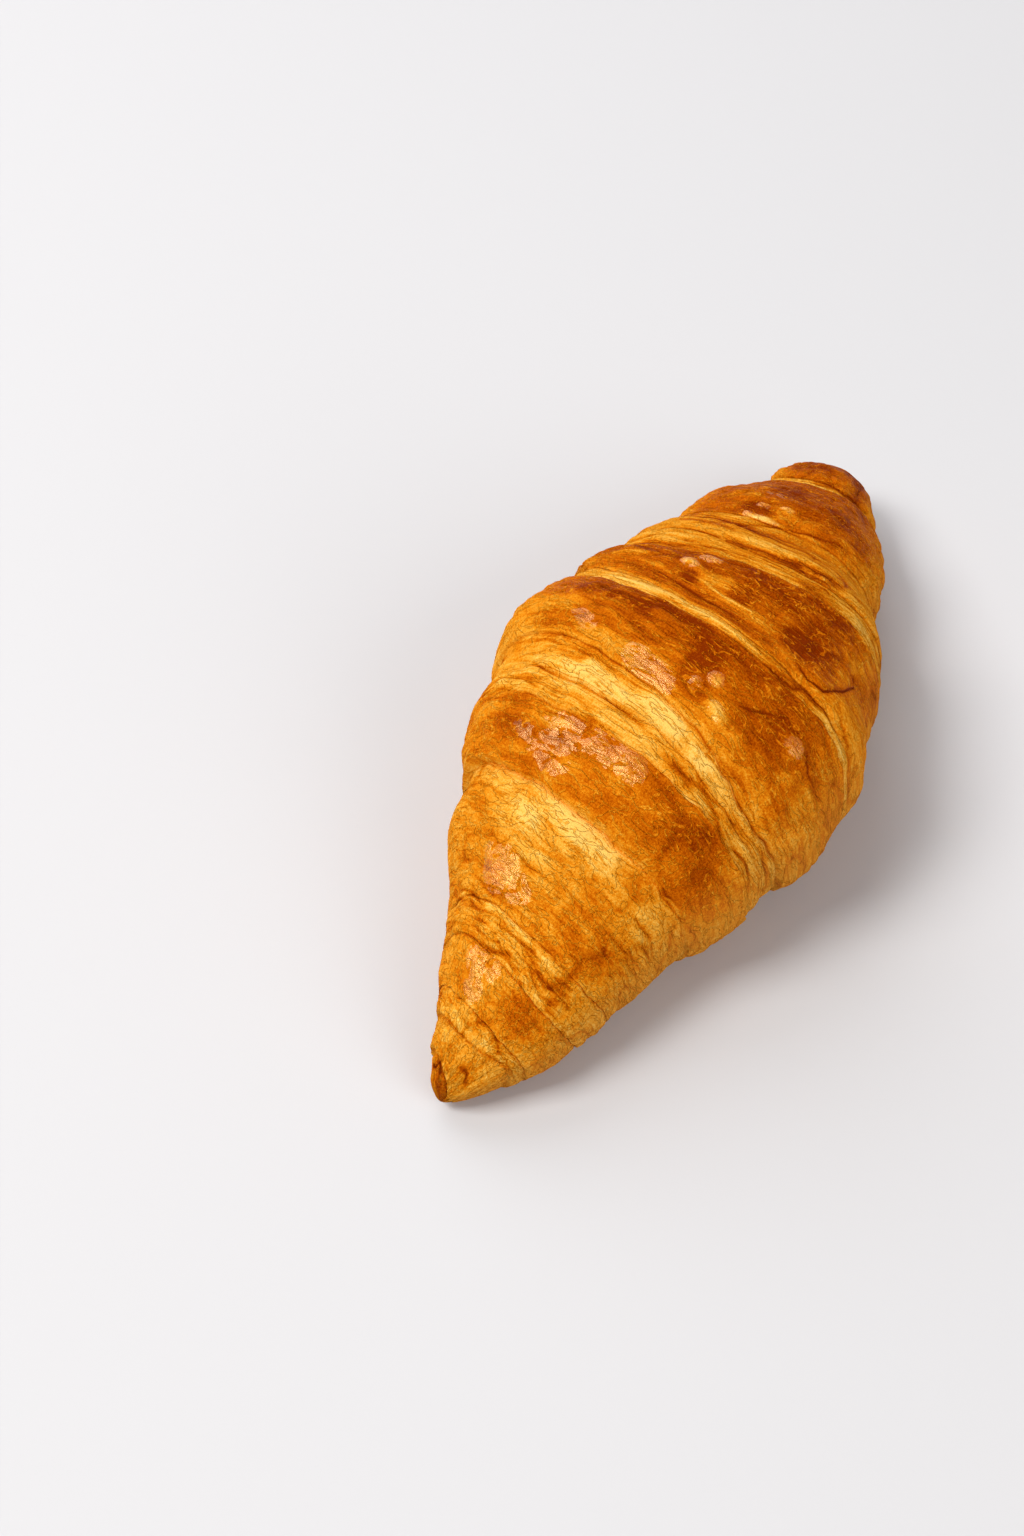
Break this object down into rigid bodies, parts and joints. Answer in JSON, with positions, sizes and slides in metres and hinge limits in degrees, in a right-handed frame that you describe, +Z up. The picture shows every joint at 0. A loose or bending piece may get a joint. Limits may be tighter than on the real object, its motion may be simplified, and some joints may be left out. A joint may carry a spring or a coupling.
{
  "type": "croissant",
  "caption": "Straight baked croissant with overlapping wraps, blunt tapering ends and a browned flaky crust, lying on its flat underside.",
  "frame": {"origin": "middle of the flat underside, under the middle of the bounding box", "axes": "+X along the roll from the smaller near nub to the far tip, +Y across the roll, +Z up from the resting plane"},
  "size_m": [0.182, 0.0786, 0.0521],
  "materials": {
    "crust": "baked egg-washed crust, satin to slightly glossy, golden to dark brown"
  },
  "bodies": {
    "root": {"croissant": "crust"}
  },
  "joints": []
}
